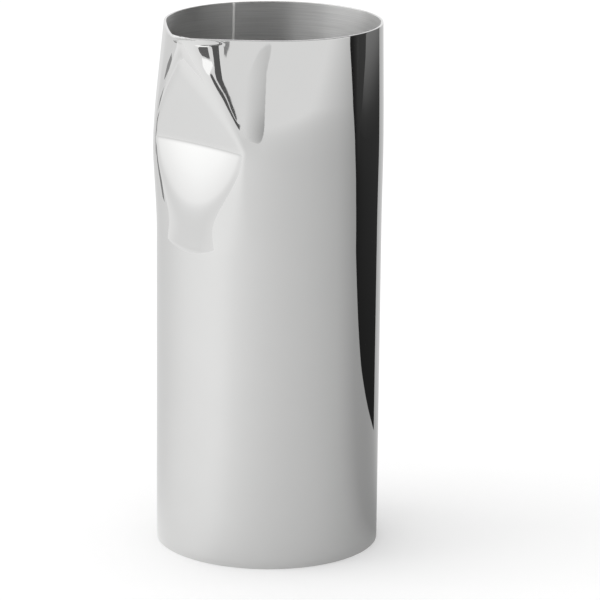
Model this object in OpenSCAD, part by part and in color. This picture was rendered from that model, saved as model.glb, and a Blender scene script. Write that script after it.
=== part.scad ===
// Cocktail pitcher in polished sheet steel.
// A rolled tube, its top folded into a pouring spout, closed by a pressed base.
// The tube's axis is Z, the foot stands on Z = 0 and the spout points to -Y.

/* [Tube] */
// Outer diameter of the plain tube
tube_d = 90; // [75:1:110]
// Height from the foot to the rim
tube_h = 213; // [180:1:260]
// Thickness of the sheet
wall = 1; // [0.8:0.1:1.4]
// Break along the cut edges of the sheet
edge_break = 0.2; // [0.1:0.05:0.3]

/* [Spout] */
// How far the lip's tip stands out past the plain tube
lip_out = 8.6; // [6:0.2:13]
// How much the rim's round part is drawn in, on its radius
rim_draw = 1.6; // [1:0.1:3]
// Height of the folded front, from the crease up to the rim
fold_h = 43.4; // [34:0.2:52]
// How far the crease is pushed in behind the tube's front line
crease_in = 5.2; // [4:0.1:8]
// How much the tube swells at the crease, on its radius
crease_swell = 1; // [0.2:0.1:1.4]
// Height of the hollow below the crease
hollow_h = 42; // [30:1:55]
// Radius of the flanks beside the lip, seen from above
flank_bow_r = 260; // [150:10:400]
// Height over which the flanks fade into the round wall, each way from the crease
flank_fade = 6; // [3:0.5:10]
// Width of the bend along the two ridges, at the crease
ridge_bend = 1.2; // [0.8:0.1:2]
// How much wider that bend opens on its way to the lip
lip_bend = 12; // [8:0.5:14]
// Width of the bend at the lip's own tip
tip_bend = 2.5; // [1.5:0.1:4]
// Width of the bend along the crease
crease_bend = 0.7; // [0.4:0.1:1.2]
// Width of the bend along the swell's upper edge
swell_bend = 1; // [0.5:0.1:2]

/* [Seam] */
// Width of the weld that closes the sheet
seam_w = 1.2; // [0.8:0.1:2]
// How far the weld stands proud of the inner wall
seam_proud = 0.1; // [0.05:0.05:0.2]
// Place of the weld, round the tube from the spout
seam_turn = -115; // [-170:1:-80]

/* [Base] */
// Thickness of the pressed base
base_t = 1; // [0.8:0.1:1.4]
// Height of the base's underside above the foot
base_lift = 4; // [3:0.5:8]
// Inner radius of the bend between floor and flange
bend_r = 1.5; // [1:0.1:2.5]
// Play between the flange and the tube
base_play = 0.05; // [0.02:0.01:0.1]
// Height of the flange's lower edge above the foot
flange_up = 1; // [0.6:0.1:1.5]
// Depth of the weld bead under the flange
bead_h = 0.7; // [0.4:0.1:0.9]

/* [Hidden] */
fn_round = 96;
overrun = 1;

// Radii and levels that follow from the sizes above
tube_r = tube_d / 2;
bore_r = tube_r - wall;
pan_r = bore_r - base_play;
crease_z = tube_h - fold_h;
hollow_z = crease_z - hollow_h;
crease_r = tube_r + crease_swell;
rim_r = tube_r - rim_draw;
crease_y = tube_r - crease_in;
tip_y = tube_r + lip_out;
crease_half = sqrt(pow(crease_r, 2) - pow(crease_y - crease_swell, 2));
crease_turn = atan(crease_half / crease_y);

// How the fold runs: exponents of its curves, chosen by eye
bend_growth = 1.6;
bend_end = 20;
hollow_fade = 1.6;
hollow_flat = 0.8;
hollow_edge = 0.5;

// Formed sheet: the exact tube ends here and the folded part takes over
join_lap = 1;
join_z = hollow_z - join_lap;
join_in = 0.05;

// The mesh of the folded part: shares of each stretch round the tube, and steps up it
facet_shares = [0, 0.22, 0.42, 0.6, 0.75, 0.87, 0.95];
ridge_shares = [0, 0.03, 0.07, 0.12, 0.18, 0.25, 0.33, 0.42, 0.53, 0.66, 0.82];
seam_shares = [-1, -0.33, 0.33, 1];
side_turn = 66;
far_turn = 75;
least_turn = 5;
least_share = 0.001;
short_steps = 11;
long_steps = 38;
low_steps = 11;
high_steps = 20;
low_crowd = 0.8;
high_crowd = 1.1;
probe = 0.05;

// The base's bend and bead
bend_steps = 6;
bead_share = 0.8;
bead_w = base_play + bead_share * base_t;

function mix(a, b, t) = a + (b - a) * t;
function clamp01(t) = max(0, min(1, t));
function ease(t) = t * t * (3 - 2 * t);

// The lesser of two radii, with the corner between them rounded
function soft_min(a, b, k) = min(a, b) - k / 4 * pow(max(0, 1 - abs(a - b) / k), 2);
function soft_max(a, b, k) = -soft_min(-a, -b, k);

// 0 at the crease and 1 at the rim
function up_share(z) = (z - crease_z) / fold_h;
// 0 at the foot of the hollow and 1 at the crease
function low_share(z) = max(0, (z - hollow_z) / hollow_h);

// Radius of the round part of the section at a height
function round_r(z) =
    soft_min(
        mix(crease_r, rim_r, up_share(z)),
        mix(tube_r, crease_r, ease(clamp01(low_share(z)))),
        swell_bend);
// Its centre moves so that the back of the tube stays one straight line
function round_y(z) = tube_r - round_r(z);

// The folded front: a flat face that leans in from the lip down to the crease
function front_y(z) = mix(crease_y, tip_y, up_share(z));
function front_half(z) = crease_half * clamp01(1 - up_share(z));

// The hollow under the crease: flat at the crease, round again at its foot
function hollow_in(z) = crease_in * pow(low_share(z), hollow_fade);
function hollow_line(z, a) =
    (tube_r - hollow_in(z)) * (1 + pow(low_share(z), hollow_flat) * (1 / cos(a) - 1));

// The plain round wall, seen from the axis
function round_line(z, a) =
    -round_y(z) * cos(a) + sqrt(pow(round_r(z), 2) - pow(round_y(z) * sin(a), 2));

// A flank: a wide arc that touches the round wall at one turn and meets its twin at the tip
tip_reach = tip_y + round_y(tube_h);
flank_lean = acos(
    (2 * flank_bow_r * rim_r - pow(rim_r, 2) - pow(tip_reach, 2))
    / (2 * tip_reach * (flank_bow_r - rim_r)));
function bow_gap(z) = flank_bow_r - round_r(z);
function bow_centre(z) =
    norm([bow_gap(z) + round_y(z) * cos(flank_lean), round_y(z) * sin(flank_lean)]);
function bow_inward(z, a, lean) = bow_gap(z) * cos(a - lean) + round_y(z) * cos(a);
function flank_line(z, a, lean) =
    sqrt(pow(bow_inward(z, a, lean), 2) - pow(bow_centre(z), 2) + pow(flank_bow_r, 2))
    - bow_inward(z, a, lean);
function flank_end(z) =
    atan2(round_r(z) * sin(flank_lean), round_r(z) * cos(flank_lean) - round_y(z));
function flank_share(z) = ease(clamp01((z - crease_z + flank_fade) / (2 * flank_fade)));
function side_line(z, a) =
    a < flank_end(z)
        ? mix(
            round_line(z, a),
            soft_min(flank_line(z, a, flank_lean), flank_line(z, a, -flank_lean), tip_k(z)),
            flank_share(z))
        : round_line(z, a);

// The bend along the ridges: narrow at the crease, open towards the lip, crisp at its edge
function ridge_low(z) = ridge_bend * max(least_share, min(1, low_share(z)));
function ridge_k(z) =
    let (up = clamp01(up_share(z)))
    ridge_low(z) + lip_bend * pow(up, bend_growth) * (1 - pow(up, bend_end));
function tip_k(z) = ridge_low(z) + (tip_bend - ridge_bend) * clamp01(up_share(z));

// Distance from the axis to the outer face, at a height and a turn from the spout
function wall_r(z, turn) =
    let (a = turn > 180 ? 360 - turn : abs(turn))
    a > far_turn ? round_line(z, a)
    : soft_min(
        soft_max(front_y(z) / cos(a), hollow_line(z, a), crease_bend),
        side_line(z, a),
        ridge_k(z));

// Turn of the ridge at a height: the flat face's edge, or the hollow's edge under the crease
function ridge_turn(z) =
    z > crease_z ? atan(front_half(z) / front_y(z))
    : crease_turn * pow(low_share(z), hollow_edge);
function fan_turn(z) = norm([ridge_turn(z), least_turn]);

// A point in the sheet, a depth in from the outer face, kept at its own height
function sheet_point(z, turn, depth) =
    let (
        r = wall_r(z, turn),
        around = (wall_r(z, turn + probe) - wall_r(z, turn - probe)) / (2 * probe * PI / 180 * r),
        upward = (wall_r(z + probe, turn) - wall_r(z - probe, turn)) / (2 * probe),
        flat_len = norm([1, around]),
        move = depth * norm([flat_len, upward]) / flat_len,
        out = [sin(turn), -cos(turn)],
        side = [cos(turn), sin(turn)],
        way = (out - around * side) / flat_len
    )
    [r * out.x - move * way.x, r * out.y - move * way.y, z];

// Rows of the folded part, each with its height and how far its faces are drawn in
low_rows = [for (i = [1:low_steps]) [hollow_z + hollow_h * pow(i / low_steps, low_crowd), 0]];
high_rows = [for (i = [1:high_steps])
    [crease_z + (fold_h - edge_break) * pow(i / high_steps, high_crowd), 0]];
rows = concat(
    [[join_z, join_in], [hollow_z, join_in]],
    low_rows,
    high_rows,
    [[tube_h, edge_break]]
);

// Half the seam, as a turn; the lapped rows keep clear of its edges
function seam_half(row, way) =
    asin((seam_w / 2 + (row.x <= hollow_z ? way * join_in : 0)) / tube_r);

function sheet_turns(row) =
    let (
        z = row.x,
        fan = fan_turn(z),
        from = seam_turn + seam_half(row, 1),
        to = seam_turn + 360 - seam_half(row, 1),
        near = concat(
            [for (s = facet_shares) s * fan],
            [for (s = ridge_shares) mix(fan, side_turn, s)]
        )
    )
    concat(
        [for (i = [0:short_steps]) mix(from, -side_turn, i / short_steps)],
        [for (i = [len(near) - 1:-1:1]) -near[i]],
        near,
        [for (i = [0:long_steps]) mix(side_turn, to, i / long_steps)]
    );

function seam_turns(row) =
    [for (s = seam_shares) seam_turn + s * seam_half(row, -1)];

// Outer and inner faces of a stretch of sheet, row by row
function outer_face(turn_rows) =
    [for (i = [0:len(rows) - 1]) [for (a = turn_rows[i]) sheet_point(rows[i].x, a, rows[i].y)]];
function inner_face(turn_rows, extra) =
    [for (i = [0:len(rows) - 1])
        [for (a = turn_rows[i]) sheet_point(rows[i].x, a, wall + extra - rows[i].y)]];

// A closed slab between two faces that have the same rows and columns
module slab(outer, inner) {
    last_row = len(outer) - 1;
    wide = len(outer[0]);
    inner_start = len(outer) * wide;
    points = concat([for (row = outer) each row], [for (row = inner) each row]);
    function at(row, col) = row * wide + col;
    function deep(row, col) = inner_start + at(row, col);
    function sheet_faces(i, j) = [
        [at(i, j), at(i + 1, j), at(i + 1, j + 1)],
        [at(i, j), at(i + 1, j + 1), at(i, j + 1)],
        [deep(i, j), deep(i + 1, j + 1), deep(i + 1, j)],
        [deep(i, j), deep(i, j + 1), deep(i + 1, j + 1)]
    ];
    function cut_faces(j) = [
        [at(0, j), at(0, j + 1), deep(0, j + 1)],
        [at(0, j), deep(0, j + 1), deep(0, j)],
        [at(last_row, j), deep(last_row, j), deep(last_row, j + 1)],
        [at(last_row, j), deep(last_row, j + 1), at(last_row, j + 1)]
    ];
    function end_faces(i) = [
        [at(i, 0), deep(i, 0), deep(i + 1, 0)],
        [at(i, 0), deep(i + 1, 0), at(i + 1, 0)],
        [at(i, wide - 1), deep(i + 1, wide - 1), deep(i, wide - 1)],
        [at(i, wide - 1), at(i + 1, wide - 1), deep(i + 1, wide - 1)]
    ];
    faces = concat(
        [for (i = [0:last_row - 1], j = [0:wide - 2]) each sheet_faces(i, j)],
        [for (j = [0:wide - 2]) each cut_faces(j)],
        [for (i = [0:last_row - 1]) each end_faces(i)]
    );
    polyhedron(points = points, faces = faces);
}

// The plain tube below the fold, with both its cut edges broken
module plain_ring(inner_r, low_z, high_z, edge) {
    rotate_extrude($fn = fn_round)
        polygon([
            [inner_r, low_z + edge],
            [inner_r + edge, low_z],
            [tube_r - edge, low_z],
            [tube_r, low_z + edge],
            [tube_r, high_z],
            [inner_r, high_z]
        ]);
}

module seam_slot() {
    rotate([0, 0, seam_turn - 90])
        translate([bore_r - overrun, -seam_w / 2, -overrun])
            cube([wall + 2 * overrun, seam_w, hollow_z + 2 * overrun]);
}

// The sheet: a rolled tube with the spout folded into its top
module body_shell() {
    color("gainsboro") {
        difference() {
            plain_ring(bore_r, 0, hollow_z, edge_break);
            seam_slot();
        }
        slab(
            outer_face([for (row = rows) sheet_turns(row)]),
            inner_face([for (row = rows) sheet_turns(row)], 0)
        );
    }
}

// The weld down the back of the sheet, flush outside and a little proud inside
module side_seam() {
    color("silver") {
        intersection() {
            plain_ring(bore_r, 0, hollow_z, edge_break);
            seam_slot();
        }
        intersection() {
            plain_ring(bore_r - seam_proud, base_lift + base_t + overrun, hollow_z, 0);
            seam_slot();
        }
        slab(
            outer_face([for (row = rows) seam_turns(row)]),
            inner_face([for (row = rows) seam_turns(row)], seam_proud)
        );
    }
}

// Points along an arc of the base's outline, from one angle to another
function bend(centre, r, from, to) =
    [for (i = [0:bend_steps])
        let (turn = mix(from, to, i / bend_steps))
        centre + [r * cos(turn), r * sin(turn)]];

// The pressed base: a floor with its rim turned down into the tube
module base_pan() {
    centre = [pan_r - base_t - bend_r, base_lift - bend_r];
    color("darkgray")
        rotate_extrude($fn = fn_round)
            polygon(concat(
                [[0, base_lift]],
                bend(centre, bend_r, 90, 0),
                [[pan_r - base_t, flange_up], [pan_r, flange_up]],
                bend(centre, bend_r + base_t, 0, 90),
                [[0, base_lift + base_t]]
            ));
}

// The bead that joins the flange's lower edge to the tube
module base_weld() {
    color("dimgray")
        rotate_extrude($fn = fn_round)
            polygon(concat(
                [[bore_r, flange_up]],
                [for (i = [0:bend_steps])
                    let (turn = mix(0, 90, i / bend_steps))
                    [bore_r - bead_w * cos(turn), flange_up - bead_h * sin(turn)]]
            ));
}

body_shell();
side_seam();
base_pan();
base_weld();
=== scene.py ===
import bpy
import math
from mathutils import Matrix, Vector


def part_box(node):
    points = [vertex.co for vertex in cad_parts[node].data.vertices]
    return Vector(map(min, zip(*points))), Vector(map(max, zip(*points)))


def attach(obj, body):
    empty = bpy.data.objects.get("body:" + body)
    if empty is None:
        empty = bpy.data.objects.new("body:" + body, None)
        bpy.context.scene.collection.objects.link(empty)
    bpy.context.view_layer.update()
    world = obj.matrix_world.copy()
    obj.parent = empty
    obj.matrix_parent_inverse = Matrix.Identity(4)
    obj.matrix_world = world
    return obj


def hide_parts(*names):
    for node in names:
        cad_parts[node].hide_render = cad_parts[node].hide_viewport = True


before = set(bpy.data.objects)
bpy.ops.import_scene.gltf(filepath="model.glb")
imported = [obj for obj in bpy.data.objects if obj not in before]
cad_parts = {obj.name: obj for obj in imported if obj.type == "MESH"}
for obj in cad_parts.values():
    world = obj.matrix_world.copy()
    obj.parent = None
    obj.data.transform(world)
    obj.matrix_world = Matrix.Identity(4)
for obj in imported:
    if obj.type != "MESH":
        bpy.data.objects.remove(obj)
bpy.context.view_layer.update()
scene = bpy.context.scene
print("frame loaded:", ", ".join(sorted(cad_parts)))

# the camera stands at the photograph's angle: place in metres, angles in degrees
cameraSizes = {
    "place": (0.9554, -0.9713, 0.4651),
    "heading": 43.994,
    "pitch": 15.04,
    "roll": 0.61,
    "lens": 210.0,
    "sensor": 36.0,
}


def makeCamera(sizes):
    heading = math.radians(sizes["heading"])
    pitch = math.radians(sizes["pitch"])
    roll = math.radians(sizes["roll"])
    ahead = Vector((
        -math.sin(heading) * math.cos(pitch), math.cos(heading) * math.cos(pitch), -math.sin(pitch)))
    level = Vector((math.cos(heading), math.sin(heading), 0.0))
    upward = level.cross(ahead)
    right = level * math.cos(roll) + upward * math.sin(roll)
    top = upward * math.cos(roll) - level * math.sin(roll)
    data = bpy.data.cameras.new("photoCamera")
    data.lens = sizes["lens"]
    data.sensor_width = sizes["sensor"]
    data.clip_end = 50.0
    camera = bpy.data.objects.new("photoCamera", data)
    turned = Matrix((right, top, -ahead)).transposed().to_4x4()
    camera.matrix_world = Matrix.Translation(Vector(sizes["place"])) @ turned
    scene.collection.objects.link(camera)
    scene.camera = camera


makeCamera(cameraSizes)
print("camera placed")


# node helpers: calc makes one maths node and returns its output socket
def calcIn(tree):
    def calc(operation, *values):
        node = tree.nodes.new("ShaderNodeMath")
        node.operation = operation
        for spot, value in enumerate(values):
            feed(tree, value, node.inputs[spot])
        return node.outputs[0]
    return calc


def feed(tree, value, socket):
    if isinstance(value, bpy.types.NodeSocket):
        tree.links.new(value, socket)
    else:
        socket.default_value = value


def newTree(name, inputs, outputs):
    tree = bpy.data.node_groups.new(name, "GeometryNodeTree")
    for label, kind in inputs:
        tree.interface.new_socket(name=label, in_out="INPUT", socket_type=kind)
    for label, kind in outputs:
        tree.interface.new_socket(name=label, in_out="OUTPUT", socket_type=kind)
    entry = tree.nodes.new("NodeGroupInput")
    leave = tree.nodes.new("NodeGroupOutput")
    return tree, entry, leave


# the lower of two values, with a bend of the given width where they meet
def softLow(calc, a, b, soft):
    gap = calc("ABSOLUTE", calc("SUBTRACT", a, b))
    share = calc("MAXIMUM", 0.0, calc("SUBTRACT", 1.0, calc("DIVIDE", gap, soft)))
    dip = calc("MULTIPLY", calc("MULTIPLY", soft, 0.25), squareOf(calc, share))
    return calc("SUBTRACT", calc("MINIMUM", a, b), dip)


def softHigh(calc, a, b, soft):
    lowered = softLow(calc, calc("MULTIPLY", -1.0, a), calc("MULTIPLY", -1.0, b), soft)
    return calc("MULTIPLY", -1.0, lowered)


def mixOf(calc, a, b, share):
    return calc("MULTIPLY_ADD", calc("SUBTRACT", b, a), share, a)


def squareOf(calc, value):
    return calc("MULTIPLY", value, value)


def heldShare(calc, value):
    return calc("MINIMUM", 1.0, calc("MAXIMUM", 0.0, value))


def easedShare(calc, share):
    return calc("MULTIPLY", squareOf(calc, share), calc("MULTIPLY_ADD", share, -2.0, 3.0))


def namedValue(tree, name):
    node = tree.nodes.new("GeometryNodeInputNamedAttribute")
    node.data_type = "FLOAT"
    node.inputs["Name"].default_value = name
    return node.outputs["Attribute"]


# sets the points to the place worked out for them, and ends as the export needs
def placedAt(tree, geometry, place):
    point = tree.nodes.new("ShaderNodeCombineXYZ")
    for spot, value in enumerate(place):
        tree.links.new(value, point.inputs[spot])
    setPlace = tree.nodes.new("GeometryNodeSetPosition")
    tree.links.new(geometry, setPlace.inputs["Geometry"])
    tree.links.new(point.outputs[0], setPlace.inputs["Position"])
    realize = tree.nodes.new("GeometryNodeRealizeInstances")
    tree.links.new(setPlace.outputs["Geometry"], realize.inputs["Geometry"])
    return realize.outputs["Geometry"]


def withMaterial(tree, geometry, material, chosen=None):
    node = tree.nodes.new("GeometryNodeSetMaterial")
    tree.links.new(geometry, node.inputs["Geometry"])
    tree.links.new(material, node.inputs["Material"])
    if chosen is not None:
        tree.links.new(chosen, node.inputs["Selection"])
    return node.outputs["Geometry"]


# the sheet: a tube with its top folded into a spout, sizes in metres, turns in degrees
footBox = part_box("base_weld")
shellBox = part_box("body_shell")
sheetSizes = {
    "tubeHeight": shellBox[1].z,
    "boreRadius": footBox[1].x,
    "wall": 0.001,
    "edge": 0.00022,
    "lipOut": 0.0086,
    "rimDraw": 0.0016,
    "foldHeight": 0.0434,
    "creaseIn": 0.0052,
    "creaseSwell": 0.001,
    "hollowHeight": 0.042,
    "ridgeBend": 0.0012,
    "lipBend": 0.012,
    "tipBend": 0.0025,
    "hollowBend": 0.002,
    "bendGrowth": 1.6,
    "bendEnd": 80.0,
    "flankBow": 0.26,
    "flankFade": 0.006,
    "creaseBend": 0.0007,
    "swellBend": 0.001,
    "hollowFade": 1.6,
    "hollowFlat": 0.8,
    "hollowEdge": 0.5,
    "sideTurn": 66.0,
    "farTurn": 75.0,
    "leastTurn": 5.0,
    "leastShare": 0.001,
    "probe": 0.00005,
    "probeTurn": math.degrees(0.001),
}
sheetSizes["tubeRadius"] = sheetSizes["boreRadius"] + sheetSizes["wall"]
# what the wall's radius depends on, and what else places the points of the sheet
radiusNames = [
    "tubeRadius", "tubeHeight", "foldHeight", "hollowHeight", "creaseIn", "creaseSwell", "lipOut",
    "rimDraw", "ridgeBend", "lipBend", "tipBend", "hollowBend", "bendGrowth", "bendEnd", "creaseBend",
    "swellBend", "flankBow", "flankFade", "hollowFade", "hollowFlat", "farTurn", "leastShare",
]
sheetNames = radiusNames + ["sideTurn", "leastTurn", "hollowEdge", "wall", "probe", "probeTurn"]


# height above the crease, as a length and as a share of the fold, and share of the hollow's height
def foldShares(calc, size, height):
    crease = calc("SUBTRACT", size["tubeHeight"], size["foldHeight"])
    hollow = calc("SUBTRACT", crease, size["hollowHeight"])
    aboveCrease = calc("SUBTRACT", height, crease)
    up = calc("DIVIDE", aboveCrease, size["foldHeight"])
    low = calc("DIVIDE", calc("SUBTRACT", height, hollow), size["hollowHeight"])
    return aboveCrease, up, calc("MAXIMUM", 0.0, low)


def foldRadii(calc, size):
    creaseRadius = calc("ADD", size["tubeRadius"], size["creaseSwell"])
    creaseFront = calc("SUBTRACT", size["tubeRadius"], size["creaseIn"])
    tipFront = calc("ADD", size["tubeRadius"], size["lipOut"])
    return creaseRadius, creaseFront, tipFront


def wallRadiusTree():
    inputs = [("height", "NodeSocketFloat"), ("turn", "NodeSocketFloat")]
    inputs += [(name, "NodeSocketFloat") for name in radiusNames]
    tree, entry, leave = newTree("wallRadius", inputs, [("radius", "NodeSocketFloat")])
    calc = calcIn(tree)
    size = entry.outputs
    tube = size["tubeRadius"]
    bow = size["flankBow"]
    aboveCrease, up, low = foldShares(calc, size, size["height"])
    creaseRadius, creaseFront, tipFront = foldRadii(calc, size)
    rimRadius = calc("SUBTRACT", tube, size["rimDraw"])
    lowHeld = calc("MINIMUM", 1.0, low)
    # round part of the section: its back line stays straight
    roundRadius = softLow(
        calc, mixOf(calc, creaseRadius, rimRadius, up),
        mixOf(calc, tube, creaseRadius, easedShare(calc, lowHeld)), size["swellBend"])
    roundBack = calc("SUBTRACT", tube, roundRadius)
    turn = calc("ABSOLUTE", size["turn"])
    heldTurn = calc("MINIMUM", turn, size["farTurn"])
    heldCosine = calc("COSINE", heldTurn)
    across = calc("MULTIPLY", roundBack, calc("SINE", turn))
    chord = calc("SQRT", calc("SUBTRACT", squareOf(calc, roundRadius), squareOf(calc, across)))
    roundLine = calc("SUBTRACT", chord, calc("MULTIPLY", roundBack, calc("COSINE", turn)))
    # flat front over the hollow under the crease
    frontLine = calc("DIVIDE", mixOf(calc, creaseFront, tipFront, up), heldCosine)
    hollowIn = calc("MULTIPLY", size["creaseIn"], calc("POWER", low, size["hollowFade"]))
    flatness = calc("POWER", low, size["hollowFlat"])
    curl = calc("MULTIPLY_ADD", flatness, calc("SUBTRACT", calc("DIVIDE", 1.0, heldCosine), 1.0), 1.0)
    hollowLine = calc("MULTIPLY", calc("SUBTRACT", tube, hollowIn), curl)
    front = softHigh(calc, frontLine, hollowLine, size["creaseBend"])
    # flanks: wide arcs that touch the round part at one turn and meet at the tip
    tipReach = calc("ADD", tipFront, calc("SUBTRACT", tube, rimRadius))
    rimGap = calc("SUBTRACT", bow, rimRadius)
    over = calc(
        "SUBTRACT", calc("MULTIPLY", calc("MULTIPLY", 2.0, bow), rimRadius),
        calc("ADD", squareOf(calc, rimRadius), squareOf(calc, tipReach)))
    under = calc("MULTIPLY", calc("MULTIPLY", 2.0, tipReach), rimGap)
    lean = calc("ARCCOSINE", calc("DIVIDE", over, under))
    leanCosine = calc("COSINE", lean)
    gap = calc("SUBTRACT", bow, roundRadius)
    cross = calc("MULTIPLY", calc("MULTIPLY", 2.0, calc("MULTIPLY", gap, roundBack)), leanCosine)
    centreSquare = calc("ADD", squareOf(calc, gap), calc("ADD", squareOf(calc, roundBack), cross))
    spare = calc("SUBTRACT", squareOf(calc, bow), centreSquare)

    def flankAt(angle):
        along = calc("MULTIPLY", gap, calc("COSINE", angle))
        inward = calc("ADD", along, calc("MULTIPLY", roundBack, heldCosine))
        return calc("SUBTRACT", calc("SQRT", calc("MULTIPLY_ADD", inward, inward, spare)), inward)

    thisFlank = flankAt(calc("SUBTRACT", heldTurn, lean))
    otherFlank = flankAt(calc("ADD", heldTurn, lean))
    endAcross = calc("MULTIPLY", roundRadius, calc("SINE", lean))
    endAlong = calc("SUBTRACT", calc("MULTIPLY", roundRadius, leanCosine), roundBack)
    flankEnd = calc("ARCTAN2", endAcross, endAlong)
    fadeHeight = calc("MULTIPLY", 2.0, size["flankFade"])
    rise = heldShare(calc, calc("DIVIDE", calc("ADD", aboveCrease, size["flankFade"]), fadeHeight))
    flankShare = easedShare(calc, rise)
    # the ridges open out towards the lip and close again at its edge, so the tip stays crisp
    upHeld = heldShare(calc, up)
    ridgeLow = calc("MULTIPLY", size["ridgeBend"], calc("MAXIMUM", size["leastShare"], lowHeld))
    # under the crease the two edges of the hollow are softest at a third of its height, where this is 1
    below = calc("SUBTRACT", 1.0, lowHeld)
    soften = calc("MULTIPLY", 27 / 4, calc("MULTIPLY", lowHeld, squareOf(calc, below)))
    ridgeLow = calc("MULTIPLY_ADD", size["hollowBend"], soften, ridgeLow)
    atLip = calc("SUBTRACT", 1.0, calc("POWER", upHeld, size["bendEnd"]))
    opened = calc("MULTIPLY", calc("POWER", upHeld, size["bendGrowth"]), atLip)
    ridge = calc("MULTIPLY_ADD", size["lipBend"], opened, ridgeLow)
    tip = calc("MULTIPLY_ADD", calc("SUBTRACT", size["tipBend"], size["ridgeBend"]), upHeld, ridgeLow)
    flank = softLow(calc, thisFlank, otherFlank, tip)
    onFlank = calc("MULTIPLY", flankShare, calc("LESS_THAN", turn, flankEnd))
    side = mixOf(calc, roundLine, flank, onFlank)
    folded = softLow(calc, front, side, ridge)
    away = calc("GREATER_THAN", turn, size["farTurn"])
    tree.links.new(mixOf(calc, folded, roundLine, away), leave.inputs["radius"])
    return tree


def foldedSheetTree(radiusTree):
    inputs = [("Geometry", "NodeSocketGeometry")]
    inputs += [(name, "NodeSocketFloat") for name in sheetNames]
    inputs += [("outerMaterial", "NodeSocketMaterial"), ("innerMaterial", "NodeSocketMaterial")]
    tree, entry, leave = newTree("foldedSheet", inputs, [("Geometry", "NodeSocketGeometry")])
    calc = calcIn(tree)
    size = entry.outputs

    def radiusAt(height, turn):
        node = tree.nodes.new("GeometryNodeGroup")
        node.node_tree = radiusTree
        for name in radiusNames:
            tree.links.new(size[name], node.inputs[name])
        feed(tree, height, node.inputs["height"])
        feed(tree, turn, node.inputs["turn"])
        return node.outputs["radius"]

    station = namedValue(tree, "station")
    height = namedValue(tree, "height")
    depth = namedValue(tree, "depth")
    # stations 0 to 1 cross the front, 1 to 2 the flank, 2 to 3 the round back
    up, low = foldShares(calc, size, height)[1:]
    creaseRadius, creaseFront, tipFront = foldRadii(calc, size)
    lowHeld = calc("MINIMUM", 1.0, low)
    upHeld = heldShare(calc, up)
    halfLow = calc("SUBTRACT", creaseFront, size["creaseSwell"])
    creaseHalf = calc("SQRT", calc("SUBTRACT", squareOf(calc, creaseRadius), squareOf(calc, halfLow)))
    frontHalf = calc("MULTIPLY", creaseHalf, calc("SUBTRACT", 1.0, upHeld))
    upRidge = calc("ARCTAN2", frontHalf, mixOf(calc, creaseFront, tipFront, upHeld))
    ridgeTurn = calc("MULTIPLY", upRidge, calc("POWER", lowHeld, size["hollowEdge"]))
    fan = calc("SQRT", calc("ADD", squareOf(calc, ridgeTurn), squareOf(calc, size["leastTurn"])))
    shift = calc("ABSOLUTE", station)
    nearShare = calc("MINIMUM", 1.0, shift)
    flankShare = heldShare(calc, calc("SUBTRACT", shift, 1.0))
    backShare = calc("MAXIMUM", 0.0, calc("SUBTRACT", shift, 2.0))
    turn = calc("MULTIPLY", nearShare, fan)
    turn = calc("ADD", turn, calc("MULTIPLY", flankShare, calc("SUBTRACT", size["sideTurn"], fan)))
    turn = calc("ADD", turn, calc("MULTIPLY", backShare, calc("SUBTRACT", math.pi, size["sideTurn"])))
    turn = calc("MULTIPLY", turn, calc("SIGN", station))
    # the outer face, its slopes, and a point as deep in the sheet as asked
    radius = radiusAt(height, turn)

    def slope(atMore, atLess, probe):
        return calc("DIVIDE", calc("SUBTRACT", atMore, atLess), calc("MULTIPLY", 2.0, probe))

    moreTurn = calc("ADD", turn, size["probeTurn"])
    lessTurn = calc("SUBTRACT", turn, size["probeTurn"])
    more = calc("ADD", height, size["probe"])
    less = calc("SUBTRACT", height, size["probe"])
    turnSlope = slope(radiusAt(height, moreTurn), radiusAt(height, lessTurn), size["probeTurn"])
    around = calc("DIVIDE", turnSlope, radius)
    upward = slope(radiusAt(more, turn), radiusAt(less, turn), size["probe"])
    flatLength = calc("SQRT", calc("MULTIPLY_ADD", around, around, 1.0))
    fullLength = calc("SQRT", calc("ADD", squareOf(calc, flatLength), squareOf(calc, upward)))
    isDeep = calc("GREATER_THAN", depth, calc("MULTIPLY", 0.5, size["wall"]))
    slant = calc("SUBTRACT", calc("DIVIDE", fullLength, flatLength), 1.0)
    lift = calc("ADD", 1.0, calc("MULTIPLY", isDeep, slant))
    move = calc("DIVIDE", calc("MULTIPLY", depth, lift), flatLength)
    sine = calc("SINE", turn)
    cosine = calc("COSINE", turn)
    outward = calc("SUBTRACT", radius, move)
    sideways = calc("MULTIPLY", move, around)
    across = calc("ADD", calc("MULTIPLY", outward, sine), calc("MULTIPLY", sideways, cosine))
    along = calc("SUBTRACT", calc("MULTIPLY", sideways, sine), calc("MULTIPLY", outward, cosine))
    points = placedAt(tree, size["Geometry"], (across, along, height))
    outer = withMaterial(tree, points, size["outerMaterial"])
    inner = withMaterial(tree, outer, size["innerMaterial"], namedValue(tree, "inside"))
    tree.links.new(inner, leave.inputs["Geometry"])
    return tree


sheetTree = foldedSheetTree(wallRadiusTree())
print("sheet rule built")


def spread(start, end, steps, crowd=1.0):
    # steps + 1 values, crowded towards the start where crowd is over 1
    return [start + (end - start) * (i / steps) ** crowd for i in range(steps + 1)]


def plannedMesh(name, corners, faces, labels=("station", "height", "depth")):
    # each corner carries the values that the rule needs to place it
    mesh = bpy.data.meshes.new(name)
    mesh.from_pydata(corners, [], faces)
    for spot, label in enumerate(labels):
        layer = mesh.attributes.new(label, "FLOAT", "POINT")
        layer.data.foreach_set("value", [corner[spot] for corner in corners])
    return mesh


def ringFaces(rows, columns, closedRows):
    faces = []
    for i in range(rows if closedRows else rows - 1):
        below = i * columns
        above = (i + 1) % rows * columns
        for j in range(columns):
            beside = (j + 1) % columns
            faces.append((below + j, below + beside, above + beside, above + j))
    return faces


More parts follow.
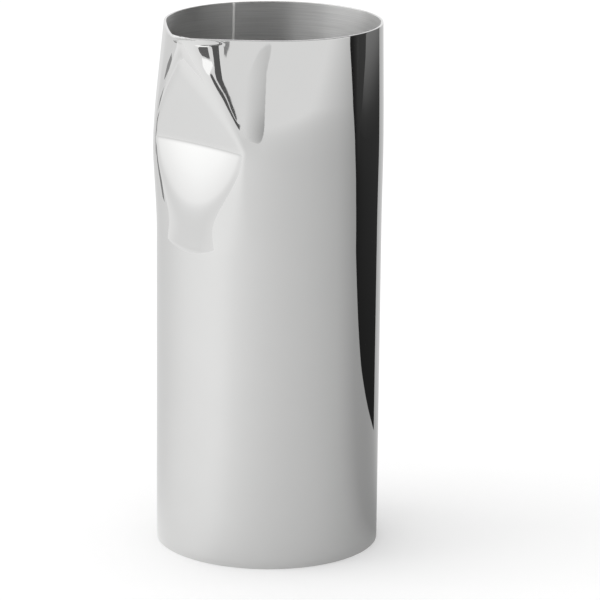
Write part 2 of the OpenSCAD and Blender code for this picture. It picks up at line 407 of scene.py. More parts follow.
# gives the tree its sizes, by the sockets' identifiers; names that end in Turn are in degrees
def placeByRule(obj, tree, sizes, outerMaterial, innerMaterial):
    modifier = obj.modifiers.new(tree.name, "NODES")
    modifier.node_group = tree
    for item in tree.interface.items_tree:
        if item.in_out != "INPUT" or item.name == "Geometry":
            continue
        if item.name == "outerMaterial":
            modifier[item.identifier] = outerMaterial
        elif item.name == "innerMaterial":
            modifier[item.identifier] = innerMaterial
        elif item.name.endswith("Turn"):
            modifier[item.identifier] = math.radians(sizes[item.name])
        else:
            modifier[item.identifier] = sizes[item.name]


def settle(obj):
    # turns the evaluated result into a plain mesh, with smooth faces
    graph = bpy.context.evaluated_depsgraph_get()
    mesh = bpy.data.meshes.new_from_object(obj.evaluated_get(graph))
    obj.modifiers.clear()
    obj.data = mesh
    mesh.polygons.foreach_set("use_smooth", [True] * len(mesh.polygons))
    mesh.update()


def addObject(name, mesh):
    obj = bpy.data.objects.new(name, mesh)
    scene.collection.objects.link(obj)
    return obj


# polished, brushed and welded steel: each range is two shares of the value above it
steelLook = {
    "colour": (0.64, 0.64, 0.635, 1.0),
    "polish": 0.022,
    "polishRange": (0.7, 1.4),
    "polishTint": (1.0, 0.97),
    "hazeScale": 60.0,
    "satin": 0.45,
    "satinRange": (0.8, 1.25),
    "satinTint": (0.7, 1.1),
    # the bore's steel is given a lighter colour than the body's: painted light in the dim bore
    "borePaintedLight": 1.2,
    "boreMetal": 0.94,
    "panTone": 0.95,
    "brushSpread": 0.9,
    "brushTurn": 0.25,
    "brushFine": 1100.0,
    "brushScale": 1.6,
    "brushDepth": 0.25,
    "brushHeight": 0.0002,
    # near-white weld colours: a painted highlight along the welds, with a cool and a warm heat tint
    "weldCoolHighlight": (0.93, 0.93, 0.93, 1.0),
    "weldWarmHighlight": (0.95, 0.94, 0.91, 1.0),
    "weldRough": 0.4,
    "weldRange": (0.7, 1.3),
    "weldMetal": 0.6,
    "weldScale": 900.0,
}


def newMaterial(name):
    material = bpy.data.materials.new(name)
    material.use_nodes = True
    return material, material.node_tree, material.node_tree.nodes["Principled BSDF"]


def objectPlace(tree):
    return tree.nodes.new("ShaderNodeTexCoord").outputs["Object"]


def noiseAt(tree, place, scale, detail):
    noise = tree.nodes.new("ShaderNodeTexNoise")
    noise.inputs["Scale"].default_value = scale
    noise.inputs["Detail"].default_value = detail
    tree.links.new(place, noise.inputs["Vector"])
    return noise.outputs["Fac"]


def roughBy(tree, shader, source, middle, shares):
    dull = tree.nodes.new("ShaderNodeMapRange")
    dull.inputs["To Min"].default_value = middle * shares[0]
    dull.inputs["To Max"].default_value = middle * shares[1]
    tree.links.new(source, dull.inputs["Value"])
    tree.links.new(dull.outputs["Result"], shader.inputs["Roughness"])


def tintBy(tree, shader, source, first, second):
    tint = tree.nodes.new("ShaderNodeMix")
    tint.data_type = "RGBA"
    tint.inputs["A"].default_value = first
    tint.inputs["B"].default_value = second
    tree.links.new(source, tint.inputs["Factor"])
    tree.links.new(tint.outputs["Result"], shader.inputs["Base Color"])


def toned(colour, tone):
    return tuple(tone * part for part in colour[:3]) + (1.0,)


def polishedSteel(look):
    material, tree, shader = newMaterial("polishedSteel")
    shader.inputs["Metallic"].default_value = 1.0
    haze = noiseAt(tree, objectPlace(tree), look["hazeScale"], 3.0)
    roughBy(tree, shader, haze, look["polish"], look["polishRange"])
    tintBy(tree, shader, haze, *(toned(look["colour"], share) for share in look["polishTint"]))
    return material


def brushedSteel(name, look, tone, metal=1.0):
    # brush lines run round the axis, on the wall and on the base alike
    material, tree, shader = newMaterial(name)
    shader.inputs["Metallic"].default_value = metal
    shader.inputs["Anisotropic"].default_value = look["brushSpread"]
    shader.inputs["Anisotropic Rotation"].default_value = look["brushTurn"]
    calc = calcIn(tree)
    place = objectPlace(tree)
    parts = tree.nodes.new("ShaderNodeSeparateXYZ")
    tree.links.new(place, parts.inputs["Vector"])
    flat = tree.nodes.new("ShaderNodeVectorMath")
    flat.operation = "MULTIPLY"
    flat.inputs[1].default_value = (1.0, 1.0, 0.0)
    tree.links.new(place, flat.inputs[0])
    reach = tree.nodes.new("ShaderNodeVectorMath")
    reach.operation = "LENGTH"
    tree.links.new(flat.outputs["Vector"], reach.inputs[0])
    outAndUp = calc("ADD", reach.outputs["Value"], parts.outputs["Z"])
    lines = tree.nodes.new("ShaderNodeCombineXYZ")
    tree.links.new(calc("ARCTAN2", parts.outputs["X"], parts.outputs["Y"]), lines.inputs["X"])
    tree.links.new(calc("MULTIPLY", outAndUp, look["brushFine"]), lines.inputs["Z"])
    grain = noiseAt(tree, lines.outputs["Vector"], look["brushScale"], 4.0)
    roughBy(tree, shader, grain, look["satin"], look["satinRange"])
    # tone scales the steel's colour; for the bore it is raised as painted light
    tintBy(tree, shader, grain, *(toned(look["colour"], share * tone) for share in look["satinTint"]))
    bump = tree.nodes.new("ShaderNodeBump")
    bump.inputs["Strength"].default_value = look["brushDepth"]
    bump.inputs["Distance"].default_value = look["brushHeight"]
    tree.links.new(grain, bump.inputs["Height"])
    tree.links.new(bump.outputs["Normal"], shader.inputs["Normal"])
    return material


def weldedSteel(look):
    # ground metal with a little heat tint, whose near-white colour paints the welds as bright lines: a
    # painted highlight
    material, tree, shader = newMaterial("weldedSteel")
    shader.inputs["Metallic"].default_value = look["weldMetal"]
    patches = noiseAt(tree, objectPlace(tree), look["weldScale"], 4.0)
    tintBy(tree, shader, patches, look["weldCoolHighlight"], look["weldWarmHighlight"])
    roughBy(tree, shader, patches, look["weldRough"], look["weldRange"])
    return material


mirrorSteel = polishedSteel(steelLook)
# the bore is lighter than the steel's own colour: painted light inside it
boreSteel = brushedSteel("boreSteel", steelLook, steelLook["borePaintedLight"], steelLook["boreMetal"])
satinSteel = brushedSteel("satinSteel", steelLook, steelLook["panTone"])
weldSteel = weldedSteel(steelLook)
print("steels mixed")

# how finely the sheet is drawn
shellGrid = {
    "frontSteps": 28,
    "flankSteps": 44,
    "backSteps": 34,
    "plainRows": 50,
    "hollowRows": 56,
    "foldRows": 64,
    "lipRows": 10,
    "lipReach": 0.003,
    "edgeRows": 4,
    "innerShare": 0.8,
    "frontCrowd": 1.7,
    "flankCrowd": 1.6,
    "hollowCrowd": 0.8,
    "foldCrowd": 1.1,
    "innerCrowd": 1.2,
}


def shellStations(grid):
    steps = grid["frontSteps"]
    front = [1.0 - (1.0 - i / steps) ** grid["frontCrowd"] for i in range(steps)]
    flank = spread(1.0, 2.0, grid["flankSteps"], grid["flankCrowd"])[:-1]
    back = spread(2.0, 3.0, grid["backSteps"])[:-1]
    half = front[1:] + flank + back
    return [0.0] + half + [3.0] + [-station for station in reversed(half)]


def shellRows(sizes, grid):
    # height and depth in the sheet, up the outside, over the lip and down the inside
    edge = sizes["edge"]
    wall = sizes["wall"]
    top = sizes["tubeHeight"] - edge
    crease = sizes["tubeHeight"] - sizes["foldHeight"]
    hollow = crease - sizes["hollowHeight"]
    near = top - grid["lipReach"]
    inner = grid["innerShare"]
    quarter = [math.pi / 2 * i / grid["edgeRows"] for i in range(grid["edgeRows"] + 1)]
    rows = [(z, 0.0) for z in spread(edge, hollow, grid["plainRows"])[:-1]]
    rows += [(z, 0.0) for z in spread(hollow, crease, grid["hollowRows"], grid["hollowCrowd"])[:-1]]
    rows += [(z, 0.0) for z in spread(crease, near, grid["foldRows"], grid["foldCrowd"])[:-1]]
    rows += [(z, 0.0) for z in spread(near, top, grid["lipRows"])[:-1]]
    rows += [(top + edge * math.sin(a), edge * (1.0 - math.cos(a))) for a in quarter]
    rows += [(top + edge * math.sin(a), wall - edge * (1.0 - math.cos(a))) for a in reversed(quarter)]
    rows += [(z, wall) for z in spread(top, near, grid["lipRows"])[1:]]
    rows += [(z, wall) for z in spread(near, crease, int(grid["foldRows"] * inner))[1:]]
    hollowSteps = int(grid["hollowRows"] * inner)
    rows += [(z, wall) for z in spread(crease, hollow, hollowSteps, grid["innerCrowd"])[1:]]
    rows += [(z, wall) for z in spread(hollow, edge, int(grid["plainRows"] * inner))[1:]]
    rows += [(edge * (1.0 - math.sin(a)), wall - edge * (1.0 - math.cos(a))) for a in quarter[1:]]
    rows += [(edge * (1.0 - math.sin(a)), edge * (1.0 - math.cos(a))) for a in reversed(quarter[1:])]
    return rows


def markInside(mesh, wall):
    # faces that lie on the inner side, all their corners nearly a wall deep
    nearlyWall = 0.95 * wall
    depth = [0.0] * len(mesh.vertices)
    mesh.attributes["depth"].data.foreach_get("value", depth)
    layer = mesh.attributes.new("inside", "FLOAT", "FACE")
    shallowest = [min(depth[corner] for corner in face.vertices) for face in mesh.polygons]
    layer.data.foreach_set("value", [1.0 if value > nearlyWall else 0.0 for value in shallowest])


def foldedShell(sizes, grid):
    rows = shellRows(sizes, grid)
    stations = shellStations(grid)
    corners = [(station, height, depth) for height, depth in rows for station in stations]
    mesh = plannedMesh("foldedShell", corners, ringFaces(len(rows), len(stations), True))
    markInside(mesh, sizes["wall"])
    obj = addObject("foldedShell", mesh)
    placeByRule(obj, sheetTree, sizes, mirrorSteel, boreSteel)
    settle(obj)
    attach(obj, "root")
    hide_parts("body_shell")
    return obj


shell = foldedShell(sheetSizes, shellGrid)
print("shell folded:", len(shell.data.polygons), "faces")

# side seam: a low bead that follows the same sheet rule at one station
seamSizes = {
    "turn": -115.0,
    "width": 0.0012,
    "inside": 0.0001,
    "outside": 0.00002,
    "endGap": 0.0002,
    "columns": 9,
    "rows": 160,
}


def sideSeam(sizes, sheet):
    middle = (abs(sizes["turn"]) - sheet["sideTurn"]) / (180.0 - sheet["sideTurn"]) + 2.0
    half = sizes["width"] / 2 / sheet["tubeRadius"] / math.radians(180.0 - sheet["sideTurn"])
    shares = spread(-1.0, 1.0, sizes["columns"] - 1)
    ring = [(share, -sizes["outside"] * (1.0 - share * share)) for share in shares]
    deep = sheet["wall"]
    ring += [(share, deep + sizes["inside"] * (1.0 - share * share)) for share in reversed(shares)]
    heights = spread(sizes["endGap"], sheet["tubeHeight"] - sizes["endGap"], sizes["rows"])
    middle = math.copysign(middle, sizes["turn"])
    corners = [(middle + share * half, z, depth) for z in heights for share, depth in ring]
    faces = ringFaces(len(heights), len(ring), False)
    lastRow = (len(heights) - 1) * len(ring)
    faces.append(tuple(reversed(range(len(ring)))))
    faces.append(tuple(range(lastRow, lastRow + len(ring))))
    mesh = plannedMesh("sideSeam", corners, faces)
    markInside(mesh, deep)
    obj = addObject("sideSeam", mesh)
    placeByRule(obj, sheetTree, sheet, mirrorSteel, weldSteel)
    settle(obj)
    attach(obj, "root")
    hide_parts("side_seam")


sideSeam(seamSizes, sheetSizes)
print("seam laid")

# pressed base: a floor whose rim turns down into the tube
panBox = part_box("base_pan")
panSizes = {
    "outerRadius": panBox[1].x,
    "top": panBox[1].z,
    "foot": panBox[0].z,
    "sheet": 0.001,
    "bend": 0.0015,
    "edge": 0.0001,
    "bendSteps": 10,
    "floorSteps": 10,
    "edgeSteps": 3,
    "turnSteps": 144,
}


def arcPoints(centre, radius, start, end, steps):
    return [(centre[0] + radius * math.cos(a), centre[1] + radius * math.sin(a))
        for a in spread(math.radians(start), math.radians(end), steps)]


def lathe(name, profile, steps):
    # the profile starts and ends on the axis
    turns = [math.tau * j / steps for j in range(steps)]
    corners = [(0.0, 0.0, profile[0][1])]
    for radius, height in profile[1:-1]:
        corners += [(radius * math.sin(turn), -radius * math.cos(turn), height) for turn in turns]
    corners.append((0.0, 0.0, profile[-1][1]))
    last = len(corners) - 1
    rings = len(profile) - 2
    faces = [tuple(1 + corner for corner in face) for face in ringFaces(rings, steps, False)]
    faces += [(0, 1 + (j + 1) % steps, 1 + j) for j in range(steps)]
    topRing = 1 + (rings - 1) * steps
    faces += [(last, topRing + j, topRing + (j + 1) % steps) for j in range(steps)]
    mesh = bpy.data.meshes.new(name)
    mesh.from_pydata(corners, [], faces)
    mesh.polygons.foreach_set("use_smooth", [True] * len(faces))
    return mesh


def basePan(sizes):
    outer = sizes["outerRadius"]
    sheet = sizes["sheet"]
    edge = sizes["edge"]
    under = sizes["top"] - sheet
    centre = (outer - sheet - sizes["bend"], under - sizes["bend"])
    inner = centre[0] + sizes["bend"]
    foot = sizes["foot"]
    ends = sizes["edgeSteps"]
    profile = [(radius, under) for radius in spread(0.0, centre[0], sizes["floorSteps"])[:-1]]
    profile += arcPoints(centre, sizes["bend"], 90.0, 0.0, sizes["bendSteps"])
    profile += arcPoints((inner + edge, foot + edge), edge, 180.0, 270.0, ends)
    profile += arcPoints((outer - edge, foot + edge), edge, 270.0, 360.0, ends)
    profile += arcPoints(centre, sizes["bend"] + sheet, 0.0, 90.0, sizes["bendSteps"])
    profile += [(radius, sizes["top"]) for radius in spread(centre[0], 0.0, sizes["floorSteps"])[1:]]
    mesh = lathe("basePan", profile, sizes["turnSteps"])
    mesh.materials.append(satinSteel)
    obj = addObject("basePan", mesh)
    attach(obj, "root")
    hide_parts("base_pan")


basePan(panSizes)
print("base pressed")

# base weld: a bead of short ripples laid round the flange's lower edge
weldSizes = {
    "boreRadius": footBox[1].x,
    "flangeUp": footBox[1].z,
    "beadWidth": 0.00085,
    "beadHeight": footBox[1].z - footBox[0].z,
    "ripples": 210.0,
    "rippleDepth": 0.16,
    "slant": 2.2,
    "arcSteps": 8,
    "turnSteps": 1680,
}


def weldTree():
    names = ["boreRadius", "flangeUp", "beadWidth", "beadHeight", "ripples", "rippleDepth", "slant"]
    inputs = [("Geometry", "NodeSocketGeometry")] + [(name, "NodeSocketFloat") for name in names]
    inputs.append(("outerMaterial", "NodeSocketMaterial"))
    tree, entry, leave = newTree("rippledBead", inputs, [("Geometry", "NodeSocketGeometry")])
    calc = calcIn(tree)
    size = entry.outputs
    around = namedValue(tree, "around")
    arc = namedValue(tree, "arc")
    arcSine = calc("SINE", arc)
    # each ripple is a rounded scale with a sharp step to the next
    slanted = calc("MULTIPLY", size["slant"], arcSine)
    phase = calc("ADD", calc("MULTIPLY", size["ripples"], around), slanted)
    crest = calc("ABSOLUTE", calc("SINE", calc("MULTIPLY", phase, 0.5)))
    swell = calc("MULTIPLY_ADD", size["rippleDepth"], calc("SUBTRACT", crest, 1.0), 1.0)
    reach = calc("MULTIPLY", namedValue(tree, "reach"), swell)
    inward = calc("MULTIPLY", calc("MULTIPLY", size["beadWidth"], reach), calc("COSINE", arc))
    downward = calc("MULTIPLY", calc("MULTIPLY", size["beadHeight"], reach), arcSine)
    radius = calc("SUBTRACT", size["boreRadius"], inward)
    across = calc("MULTIPLY", radius, calc("COSINE", around))
    along = calc("MULTIPLY", radius, calc("SINE", around))
    height = calc("SUBTRACT", size["flangeUp"], downward)
    points = placedAt(tree, size["Geometry"], (across, along, height))
    tree.links.new(withMaterial(tree, points, size["outerMaterial"]), leave.inputs["Geometry"])
    return tree


def weldBead(sizes):
    profile = [(a, 1.0) for a in spread(0.0, math.pi / 2, sizes["arcSteps"])]
    profile.append((0.0, 0.0))
    turns = [math.tau * j / sizes["turnSteps"] for j in range(sizes["turnSteps"])]
    corners = [(turn, arc, reach) for arc, reach in profile for turn in turns]
    faces = [tuple(reversed(face)) for face in ringFaces(len(profile), len(turns), True)]
    mesh = plannedMesh("weldBead", corners, faces, ("around", "arc", "reach"))
    obj = addObject("weldBead", mesh)
    placeByRule(obj, weldTree(), sizes, weldSteel, weldSteel)
    settle(obj)
    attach(obj, "root")
    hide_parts("base_weld")


weldBead(weldSizes)
print("base welded")

# floor, cards and a lamp: none of them part of the object
studioSizes = {
    "floorHalf": 6.0,
    "floorTone": 0.95,
    "worldTone": 1.0,
    "evenReach": 0.7,
    "farReach": 4.0,
    # painted light: a glow that the steel sees in the floor near by, as a share of the floor's painted
    # tone
    "mirroredFloorGlow": 0.14,
    "cameraLift": 0.05,
    "mirroredSky": 1.03,
}
# tones of a stand's pole and of the left screen, by share of their height
poleTones = [
    (0.0, 0.52), (0.43, 0.51), (0.56, 0.5), (0.69, 0.59), (0.82, 0.69), (0.9, 0.77), (1.0, 0.83),
]
screenTones = [
    (0.0, 1.14), (0.02, 1.06), (0.04, 1.0), (0.08, 1.08), (0.12, 1.27), (0.18, 1.46), (0.28, 1.7),
    (0.5, 1.9), (1.0, 1.9),
]
# the doorway and the wall behind it are lighter with height
doorTones = [(0.0, 0.016), (0.1, 0.025), (0.2, 0.05), (0.3, 0.06), (1.0, 0.065)]
footTones = [(0.0, 0.018), (0.5, 0.026), (1.0, 0.04)]
wallTones = [
    (0.0, 0.035), (0.1, 0.035), (0.125, 0.05), (0.1425, 0.08), (0.1625, 0.17), (0.1825, 0.24),
    (1.0, 0.27),
]
# painted light and shade on the floor that the steel mirrors, by turn from the camera towards its right,
# in degrees
floorLightAndShade = [
    (-180, 0.66), (-150, 0.65), (-116, 0.79), (-90, 0.9), (-60, 0.955), (-45, 0.94), (-32, 0.86),
    (-15, 0.78), (0, 0.735), (17, 0.685), (34, 0.65), (52, 0.6), (71, 0.535), (82, 0.48), (95, 0.38),
    (125, 0.35), (150, 0.5), (180, 0.66),
]


# turns a place given as seen from the camera, right and away from it, into the frame
def fromCamera(right, away, up):
    heading = math.radians(cameraSizes["heading"])
    return (
        right * math.cos(heading) - away * math.sin(heading),
        right * math.sin(heading) + away * math.cos(heading),
        up,
    )


# the same by turn from the camera direction, in degrees, and distance
def roundAbout(turn, distance, up):
    turn = math.radians(turn)
    return fromCamera(distance * math.sin(turn), -distance * math.cos(turn), up)


def greyOf(tone):
    return (tone, tone, tone, 1.0)


def glowMaterial(name, tones, height, openTone=0.0):
    # tones is one value, or pairs of height share and tone from the foot up
    material = bpy.data.materials.new(name)
    material.use_nodes = True
    tree = material.node_tree
    tree.nodes.clear()
    glow = tree.nodes.new("ShaderNodeEmission")
    out = tree.nodes.new("ShaderNodeOutputMaterial")
    tree.links.new(glow.outputs[0], out.inputs["Surface"])
    if len(tones) == 1:
        glow.inputs["Color"].default_value = greyOf(tones[0])
        return material
    brightest = max(tone for place, tone in tones)
    glow.inputs["Strength"].default_value = brightest
    tones = [(place, tone / brightest) for place, tone in tones]
    parts = tree.nodes.new("ShaderNodeSeparateXYZ")
    tree.links.new(objectPlace(tree), parts.inputs["Vector"])
    colour = toneRamp(tree, calcIn(tree)("DIVIDE", parts.outputs["Z"], height), tones)
    if openTone:
        # where the mesh's own fade value is 0 the strip has the tone of what is behind it
        fade = tree.nodes.new("ShaderNodeAttribute")
        fade.attribute_name = "fade"
        mix = tree.nodes.new("ShaderNodeMix")
        mix.data_type = "RGBA"
        mix.inputs["A"].default_value = greyOf(openTone / brightest)
        tree.links.new(fade.outputs["Fac"], mix.inputs["Factor"])
        tree.links.new(colour, mix.inputs["B"])
        colour = mix.outputs["Result"]
    tree.links.new(colour, glow.inputs["Color"])
    return material


def toneRamp(tree, source, tones):
    ramp = tree.nodes.new("ShaderNodeValToRGB")
    ramp.color_ramp.interpolation = "B_SPLINE"
    stops = ramp.color_ramp.elements
    while len(stops) > 1:
        stops.remove(stops[0])
    for spot, (place, tone) in enumerate(tones):
        stop = stops[0] if spot == 0 else stops.new(place)
        stop.position = place
        stop.color = greyOf(tone)
    tree.links.new(source, ramp.inputs["Fac"])
    return ramp.outputs["Color"]


# a card that only reflections see: line holds turn, distance, foot and top of each upright, and its
# fade where the strip has one
def standingStrip(name, line, tones, openTone=0.0):
    corners = [roundAbout(upright[0], upright[1], up) for upright in line for up in upright[2:4]]
    mesh = bpy.data.meshes.new(name)
    faces = [(2 * i, 2 * i + 2, 2 * i + 3, 2 * i + 1) for i in range(len(line) - 1)]
    mesh.from_pydata(corners, [], faces)
    if openTone:
        layer = mesh.attributes.new("fade", "FLOAT", "POINT")
        layer.data.foreach_set("value", [fade for upright in line for fade in (upright[4], upright[4])])
    mesh.materials.append(glowMaterial(name, tones, max(upright[3] for upright in line), openTone))
    strip = addObject(name, mesh)
    strip.visible_camera = False
    strip.visible_diffuse = False
    strip.visible_shadow = False
    strip.visible_transmission = False


def makeFloor(sizes, tones):
    material, tree, shader = newMaterial("paleFloor")
    shader.inputs["Roughness"].default_value = 0.9
    shader.inputs["Specular IOR Level"].default_value = 0.0
    calc = calcIn(tree)
    place = objectPlace(tree)
    # the turn from the camera, as a share of the round
    turned = tree.nodes.new("ShaderNodeVectorRotate")
    turned.rotation_type = "Z_AXIS"
    turned.inputs["Angle"].default_value = -math.radians(cameraSizes["heading"])
    tree.links.new(place, turned.inputs["Vector"])
    split = tree.nodes.new("ShaderNodeSeparateXYZ")
    tree.links.new(turned.outputs["Vector"], split.inputs["Vector"])
    turn = calc("ARCTAN2", split.outputs["X"], calc("MULTIPLY", split.outputs["Y"], -1.0))
    share = tree.nodes.new("ShaderNodeMapRange")
    share.inputs["From Min"].default_value = -math.pi
    share.inputs["From Max"].default_value = math.pi
    tree.links.new(turn, share.inputs["Value"])
    shares = [((degrees + 180.0) / 360.0, tone) for degrees, tone in tones]
    # painted light and shade: for the steel only, the floor is lightest on the left and shaded towards
    # the right
    around = toneRamp(tree, share.outputs["Result"], shares)
    # further out it comes up to the tone of the sky
    reach = tree.nodes.new("ShaderNodeVectorMath")
    reach.operation = "LENGTH"
    tree.links.new(place, reach.inputs[0])
    far = tree.nodes.new("ShaderNodeMapRange")
    far.interpolation_type = "SMOOTHSTEP"
    far.inputs["From Min"].default_value = sizes["evenReach"]
    far.inputs["From Max"].default_value = sizes["farReach"]
    tree.links.new(reach.outputs["Value"], far.inputs["Value"])
    path = tree.nodes.new("ShaderNodeLightPath").outputs

    def mixed(share, first, second):
        node = tree.nodes.new("ShaderNodeMix")
        node.data_type = "RGBA"
        tree.links.new(share, node.inputs["Factor"])
        for label, value in (("A", first), ("B", second)):
            feed(tree, greyOf(value) if isinstance(value, float) else value, node.inputs[label])
        return node.outputs["Result"]

    # the steel mirrors the painted light and shade round about, and all else sees one plain tone
    mirrored = mixed(far.outputs["Result"], around, 0.0)
    colour = mixed(path["Is Glossy Ray"], sizes["floorTone"], mirrored)
    tree.links.new(colour, shader.inputs["Base Color"])
    # painted light: near by the floor glows in the steel by a share of its painted tone, and further out
    # with the sky's tone
    raised = tree.nodes.new("ShaderNodeVectorMath")
    raised.operation = "SCALE"
    raised.inputs["Scale"].default_value = sizes["mirroredFloorGlow"]
    tree.links.new(around, raised.inputs[0])
    glow = mixed(far.outputs["Result"], raised.outputs["Vector"], sizes["mirroredSky"])
    glow = mixed(path["Is Camera Ray"], glow, sizes["cameraLift"])
    tree.links.new(glow, shader.inputs["Emission Color"])
    seen = calc("ADD", path["Is Glossy Ray"], path["Is Camera Ray"])
    tree.links.new(seen, shader.inputs["Emission Strength"])
    half = sizes["floorHalf"]
    mesh = bpy.data.meshes.new("floor")
    corners = [(-half, -half, 0.0), (half, -half, 0.0), (half, half, 0.0), (-half, half, 0.0)]
    mesh.from_pydata(corners, [], [(0, 1, 2, 3)])
    mesh.materials.append(material)
    addObject("floor", mesh)


def makeWorld(sizes):
    world = bpy.data.worlds.new("softStudio")
    scene.world = world
    world.use_nodes = True
    tree = world.node_tree
    back = tree.nodes["Background"]
    back.inputs["Color"].default_value = (1.0, 1.0, 1.0, 1.0)
    path = tree.nodes.new("ShaderNodeLightPath")
    seen = tree.nodes.new("ShaderNodeMapRange")
    seen.inputs["To Min"].default_value = sizes["worldTone"]
    seen.inputs["To Max"].default_value = 1.0
    tree.links.new(path.outputs["Is Camera Ray"], seen.inputs["Value"])
    mirrored = tree.nodes.new("ShaderNodeMix")
    tree.links.new(path.outputs["Is Glossy Ray"], mirrored.inputs["Factor"])
    tree.links.new(seen.outputs["Result"], mirrored.inputs["A"])
    mirrored.inputs["B"].default_value = sizes["mirroredSky"]
    tree.links.new(mirrored.outputs["Result"], back.inputs["Strength"])


def softbox(name, place, target, size, tone):
    # tone is what the box looks like in the steel, so its watts follow from its size
    data = bpy.data.lights.new(name, "AREA")
    data.shape = "RECTANGLE"
    data.size = size[0]
    data.size_y = size[1]
    data.energy = tone * math.pi * size[0] * size[1]
    lamp = bpy.data.objects.new(name, data)
    place = Vector(place)
    turned = (Vector(target) - place).to_track_quat("-Z", "Y").to_matrix().to_4x4()
    lamp.matrix_world = Matrix.Translation(place) @ turned
    lamp.visible_camera = False
    scene.collection.objects.link(lamp)


# a dark doorway far to the right, and the low dark edge that runs on behind it
standingStrip("doorway", [
    (86.2, 2.134, 0.0, 0.6), (88.6, 1.834, 0.0, 0.6), (90.7, 1.594, 0.0, 0.6), (92.6, 1.253, 0.0, 0.6),
    (94.2, 1.018, 0.0, 0.6), (96.7, 0.551, 0.0, 0.6), (99.0, 0.447, 0.0, 0.6),
    (99.1, 0.446, 0.105, 0.6), (105.4, 0.302, 0.165, 0.6), (107.0, 0.290, 0.19, 0.6)], doorTones)
standingStrip("doorFoot", [
    (99.0, 0.447, 0.0, 0.105), (100.6, 0.391, 0.0, 0.11), (105.4, 0.302, 0.0, 0.12),
    (114.2, 0.240, 0.0, 0.13), (124.9, 0.197, 0.0, 0.132), (132.5, 0.175, 0.0, 0.132)], footTones)
standingStrip("greyWall", [
    (96.0, 0.62, 0.0, 0.8), (108.0, 0.5, 0.0, 0.8), (142.0, 0.5, 0.0, 0.8)], wallTones)
# what stands about the camera: dark edges, a lamp's end between two of them, and a stand's pole
standingStrip("upperEdge", [
    (-28.5, 1.0, 0.143, 0.156), (-27.5, 1.0, 0.145, 0.168), (-26.4, 1.0, 0.146, 0.188),
    (-26.0, 1.0, 0.147, 0.216), (-23.3, 1.0, 0.153, 0.220), (-19.6, 1.0, 0.163, 0.221),
    (-19.2, 1.0, 0.164, 0.186), (-17.1, 1.0, 0.168, 0.187), (-13.9, 1.0, 0.172, 0.192),
    (-11.8, 1.0, 0.168, 0.194), (-10.7, 1.0, 0.163, 0.193), (-9.7, 1.0, 0.158, 0.187),
    (-9.2, 1.0, 0.152, 0.165)], (0.13,))
standingStrip("lowerEdge", [
    (-36.0, 1.0, 0.100, 0.108), (-34.7, 1.0, 0.093, 0.117), (-32.9, 1.0, 0.094, 0.128),
    (-30.4, 1.0, 0.100, 0.1285), (-27.7, 1.0, 0.108, 0.133), (-25.6, 1.0, 0.111, 0.140),
    (-22.7, 1.0, 0.117, 0.148), (-19.7, 1.0, 0.118, 0.155), (-15.3, 1.0, 0.125, 0.161),
    (-11.2, 1.0, 0.131, 0.156), (-9.7, 1.0, 0.131, 0.154), (-8.5, 1.0, 0.129, 0.144)], (0.13,))
standingStrip("thirdEdge", [
    (-38.5, 1.0, 0.133, 0.142), (-37.4, 1.0, 0.134, 0.152), (-35.0, 1.0, 0.148, 0.172),
    (-32.5, 1.0, 0.160, 0.187), (-30.2, 1.0, 0.172, 0.202)], (0.17,))
standingStrip("shortEdge", [
    (-14.3, 1.0, 0.2205, 0.224), (-13.7, 1.0, 0.2240, 0.230), (-12.5, 1.0, 0.2225, 0.232),
    (-11.9, 1.0, 0.2265, 0.234), (-11.3, 1.0, 0.2295, 0.234)], (0.3,))
standingStrip("lampEnd", [
    (-40.6, 0.98, 0.086, 0.092), (-39.5, 0.98, 0.084, 0.107), (-38.0, 0.98, 0.092, 0.128),
    (-36.2, 0.98, 0.105, 0.138), (-33.8, 0.98, 0.129, 0.153), (-30.5, 0.98, 0.155, 0.167),
    (-28.8, 0.98, 0.167, 0.174)], (1.5,))
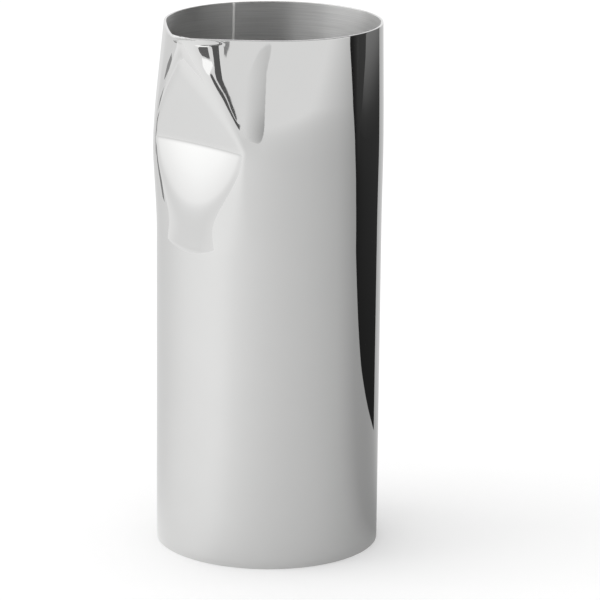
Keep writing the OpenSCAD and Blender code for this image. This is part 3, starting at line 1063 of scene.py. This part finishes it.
standingStrip("pole", [
    (-7.7, 1.0, 0.125, 0.208, 0.0), (-7.2, 1.0, 0.100, 0.210, 0.12), (-6.8, 1.0, 0.070, 0.214, 0.22),
    (-6.1, 1.0, 0.073, 0.220, 0.4), (-5.3, 1.0, 0.080, 0.225, 0.6), (-4.6, 1.0, 0.088, 0.227, 0.78),
    (-4.1, 1.0, 0.098, 0.228, 0.92), (-3.7, 1.0, 0.115, 0.228, 1.0), (-3.4, 1.0, 0.135, 0.214, 1.0)],
    poleTones, studioSizes["mirroredSky"])
standingStrip("poleHead", [
    (-3.7, 1.0, 0.208, 0.228, 1.0), (-2.3, 1.0, 0.217, 0.228, 1.0), (-1.0, 1.0, 0.2225, 0.226, 0.8)],
    poleTones, studioSizes["mirroredSky"])
# small dark marks behind on the left, which the left edge of the fold mirrors
standingStrip("backTop", [
    (-131.8, 0.5, 0.100, 0.115), (-128.0, 0.5, 0.096, 0.120), (-124.0, 0.5, 0.096, 0.106)], (0.36,))
standingStrip("backMiddle", [(-131.5, 0.5, 0.06, 0.080), (-124.0, 0.5, 0.056, 0.077)], (0.4,))
standingStrip("backFoot", [
    (-108.5, 0.12, 0.1215, 0.149), (-105.5, 0.12, 0.1205, 0.149), (-102.5, 0.12, 0.131, 0.149)], (0.32,))
# the room above is dim except on the left, which only the brushed bore sees
standingStrip("dimFront", [
    (-20.0, 4.0, 1.0, 6.0), (20.0, 4.0, 1.0, 6.0), (60.0, 4.0, 1.0, 6.0)], (0.12,))
standingStrip("dimRight", [
    (60.0, 4.0, 1.0, 6.0), (95.0, 4.0, 1.0, 6.0), (130.0, 4.0, 1.0, 6.0)], (0.04,))
# a lit screen on the left, brighter with height, which the hollow under the crease mirrors
standingStrip("leftScreen", [
    (-124.0, 0.64, 0.0, 0.9, 1.0), (-105.0, 0.64, 0.0, 0.9, 1.0), (-86.0, 0.64, 0.0, 0.9, 1.0),
    (-72.0, 0.64, 0.005, 0.9, 1.0), (-62.0, 0.64, 0.02, 0.9, 0.6), (-50.0, 0.64, 0.05, 0.9, 0.0)],
    screenTones, 1.16)
softbox("leftBox", roundAbout(-84.0, 3.0, 2.0), (0.0, 0.0, 0.1), (2.6, 3.0), 0.95)
makeFloor(studioSizes, floorLightAndShade)
makeWorld(studioSizes)
scene.view_settings.view_transform = "Standard"
print("studio set")
